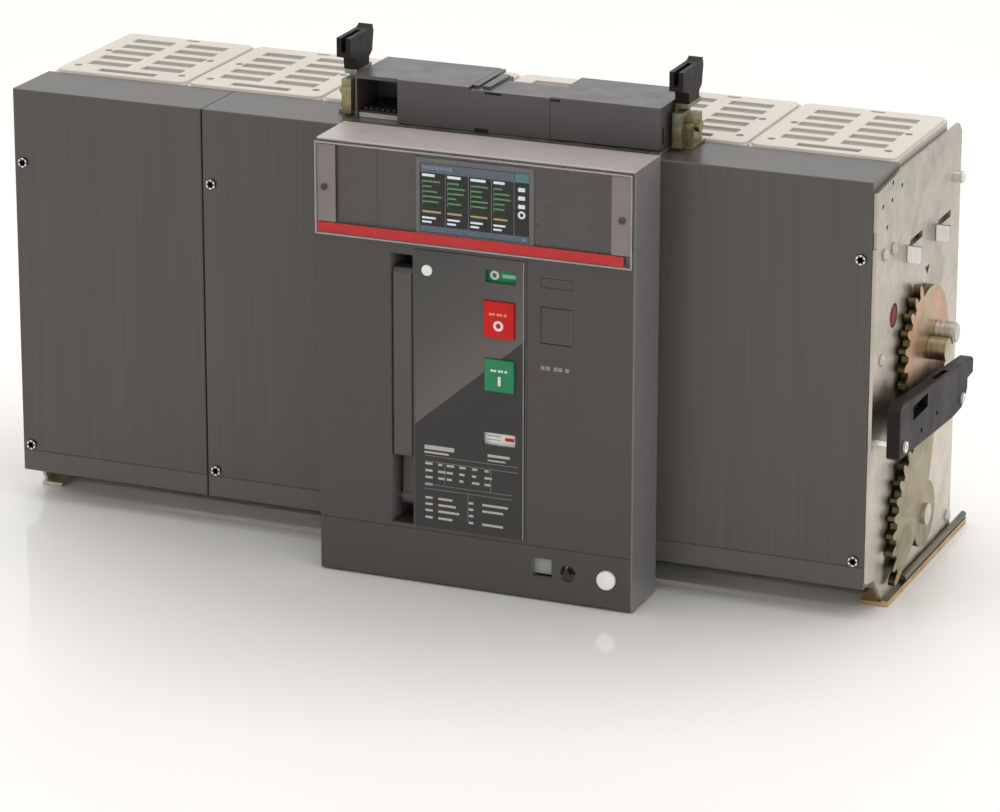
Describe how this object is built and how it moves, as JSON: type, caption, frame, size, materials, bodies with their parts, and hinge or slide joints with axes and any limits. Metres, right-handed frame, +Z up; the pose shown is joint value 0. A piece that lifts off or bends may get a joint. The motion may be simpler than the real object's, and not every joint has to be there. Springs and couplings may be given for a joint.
{
  "type": "air circuit breaker",
  "caption": "Withdrawable air circuit breaker with front shield, clear display cover, push buttons, charging lever, arc chutes, side plates and racking gears.",
  "frame": {"origin": "on the floor, under the middle of the machine's overall box", "axes": "+X to the operator's right, -Y towards the operator, +Z up"},
  "size_m": [0.82, 0.323, 0.436],
  "materials": {
    "zinc_plate": "passivated zinc plate",
    "pale_zinc": "pale yellow zinc plate",
    "yellow_zinc": "yellow passivated zinc plate",
    "bright_steel": "bright zinc",
    "dark_steel": "black oxide",
    "silvered_copper": "silver plated copper",
    "pole_moulding": "glass filled polyester moulding",
    "chute_plastic": "light moulded plastic",
    "cover_plastic": "dark grey, faint vertical streaks",
    "shield_plastic": "fine textured dark grey",
    "facia_film": "two-tone film",
    "bezel_plastic": "satin grey",
    "display_glass": "display glass",
    "box_plastic": "dark grey",
    "black_plastic": "black",
    "grey_plastic": "light grey",
    "lever_plastic": "dark grey",
    "clear_plastic": "clear polycarbonate",
    "clear_screw": "tinted clear plastic",
    "red_plastic": "signal red",
    "green_plastic": "signal green",
    "white_plastic": "white"
  },
  "bodies": {
    "breaker_body": {"side_plate_left": "zinc_plate", "side_plate_right": "zinc_plate", "rail_left": "yellow_zinc", "rail_right": "yellow_zinc", "base_cross_rails": "zinc_plate", "pole_unit_1": "pole_moulding", "pole_unit_2": "pole_moulding", "pole_unit_3": "pole_moulding", "upper_terminals": "silvered_copper", "lower_terminals": "silvered_copper", "current_transformers": "black_plastic", "arc_chute_1": "chute_plastic", "arc_chute_2": "chute_plastic", "arc_chute_3": "chute_plastic", "arc_chute_4": "chute_plastic", "arc_chute_5": "chute_plastic", "arc_chute_6": "chute_plastic", "arc_chute_screws": "dark_steel", "arc_splitter_plates": "zinc_plate", "pole_cover_left_outer": "cover_plastic", "pole_cover_left_inner": "cover_plastic", "pole_cover_right": "cover_plastic", "cover_screws": "bright_steel", "side_plate_fasteners": "bright_steel", "gear_axles": "bright_steel", "front_shield": "shield_plastic", "facia_panel": "facia_film", "seal_plug": "white_plastic", "trip_unit": "bezel_plastic", "display_screen": "display_glass", "mechanism_frame": "zinc_plate", "closing_springs": "dark_steel", "mounting_bridge": "zinc_plate", "terminal_cover_left": "box_plastic", "terminal_cover_right": "box_plastic", "terminal_block": "grey_plastic", "contact_post_left": "black_plastic", "contact_post_right": "black_plastic", "post_brackets": "yellow_zinc", "bridge_bar": "black_plastic"},
    "display_cover": {"clear_cover": "clear_plastic", "red_stripe": "red_plastic", "cover_thumb_screws": "clear_screw"},
    "on_push": {"on_button": "green_plastic"},
    "off_push": {"off_button": "red_plastic"},
    "reset_push": {"reset_button": "shield_plastic"},
    "release_push": {"racking_release_button": "white_plastic"},
    "state_indicator": {"state_flag": "green_plastic"},
    "spring_indicator": {"spring_flag": "white_plastic"},
    "charging_handle": {"charging_lever": "lever_plastic"},
    "charging_drive": {"charging_shaft": "dark_steel"},
    "main_shaft": {"pole_shaft": "bright_steel"},
    "contact_carrier": {"moving_contacts": "silvered_copper"},
    "racking_drive": {"racking_shaft": "zinc_plate", "lower_gear_left": "pale_zinc", "lower_gear_right": "pale_zinc"},
    "racking_arm_left": {"upper_gear_left": "yellow_zinc"},
    "racking_arm_right": {"upper_gear_right": "yellow_zinc"},
    "racking_screw": {"racking_spindle": "dark_steel"},
    "position_indicator": {"position_drum": "grey_plastic"}
  },
  "joints": [
    {"name": "display_cover_pull", "type": "slide", "parent": "breaker_body", "child": "display_cover", "axis": [0, -1, 0], "range_m": [0, 0.03]},
    {"name": "on_press", "type": "slide", "parent": "breaker_body", "child": "on_push", "axis": [0, 1, 0], "range_m": [0, 0.005], "stiffness_N_per_m": 500, "springref_m": -0.002},
    {"name": "off_press", "type": "slide", "parent": "breaker_body", "child": "off_push", "axis": [0, 1, 0], "range_m": [0, 0.005], "stiffness_N_per_m": 500, "springref_m": -0.002},
    {"name": "reset_press", "type": "slide", "parent": "breaker_body", "child": "reset_push", "axis": [0, 1, 0], "range_m": [0, 0.004], "stiffness_N_per_m": 500, "springref_m": -0.002},
    {"name": "release_press", "type": "slide", "parent": "breaker_body", "child": "release_push", "axis": [0, 1, 0], "range_m": [0, 0.004], "stiffness_N_per_m": 500, "springref_m": -0.002},
    {"name": "charging_lever_pull", "type": "hinge", "parent": "breaker_body", "child": "charging_handle", "pos_m": [0.002, -0.138, 0.068], "axis": [1, 0, 0], "range_deg": [0, 70], "stiffness_Nm_per_rad": 0.25, "springref_deg": -28.65},
    {"name": "charging_turn", "type": "hinge", "parent": "breaker_body", "child": "charging_drive", "pos_m": [0, -0.078, 0.235], "axis": [1, 0, 0], "range_deg": [0, 180]},
    {"name": "spring_flag_slide", "type": "slide", "parent": "breaker_body", "child": "spring_indicator", "axis": [0, 0, -1], "range_m": [0, 0.0116]},
    {"name": "main_shaft_turn", "type": "hinge", "parent": "breaker_body", "child": "main_shaft", "pos_m": [0, -0.062, 0.15], "axis": [1, 0, 0], "range_deg": [0, 28], "stiffness_Nm_per_rad": 20, "springref_deg": -11.46},
    {"name": "contact_swing", "type": "hinge", "parent": "breaker_body", "child": "contact_carrier", "pos_m": [0, 0.048, 0.14], "axis": [1, 0, 0], "range_deg": [-14, 0]},
    {"name": "state_flag_slide", "type": "slide", "parent": "breaker_body", "child": "state_indicator", "axis": [0, 0, -1], "range_m": [0, 0.0116]},
    {"name": "racking_turn", "type": "hinge", "parent": "breaker_body", "child": "racking_drive", "pos_m": [0, 0.027, 0.052], "axis": [-1, 0, 0], "range_deg": [0, 78]},
    {"name": "arm_turn_right", "type": "hinge", "parent": "breaker_body", "child": "racking_arm_right", "pos_m": [0.389, 0.027, 0.196], "axis": [1, 0, 0], "range_deg": [0, 100.3]},
    {"name": "arm_turn_left", "type": "hinge", "parent": "breaker_body", "child": "racking_arm_left", "pos_m": [-0.389, 0.027, 0.196], "axis": [1, 0, 0], "range_deg": [0, 100.3]},
    {"name": "spindle_turn", "type": "hinge", "parent": "breaker_body", "child": "racking_screw", "pos_m": [0.148, 0, 0.0265], "axis": [0, 1, 0], "range_deg": [0, 1560]},
    {"name": "position_drum_turn", "type": "hinge", "parent": "breaker_body", "child": "position_indicator", "pos_m": [0.126, -0.1385, 0.029], "axis": [1, 0, 0], "range_deg": [0, 120]}
  ],
  "couplings": [
    {"joint": "spring_flag_slide", "follows": "charging_turn", "m_per_rad": 0.0036606},
    {"joint": "contact_swing", "follows": "main_shaft_turn", "ratio": -0.5},
    {"joint": "state_flag_slide", "follows": "main_shaft_turn", "m_per_rad": 0.023532},
    {"joint": "arm_turn_right", "follows": "racking_turn", "ratio": 1.2857},
    {"joint": "arm_turn_left", "follows": "racking_turn", "ratio": 1.2857},
    {"joint": "spindle_turn", "follows": "racking_turn", "ratio": 20},
    {"joint": "position_drum_turn", "follows": "racking_turn", "ratio": 1.5385}
  ]
}
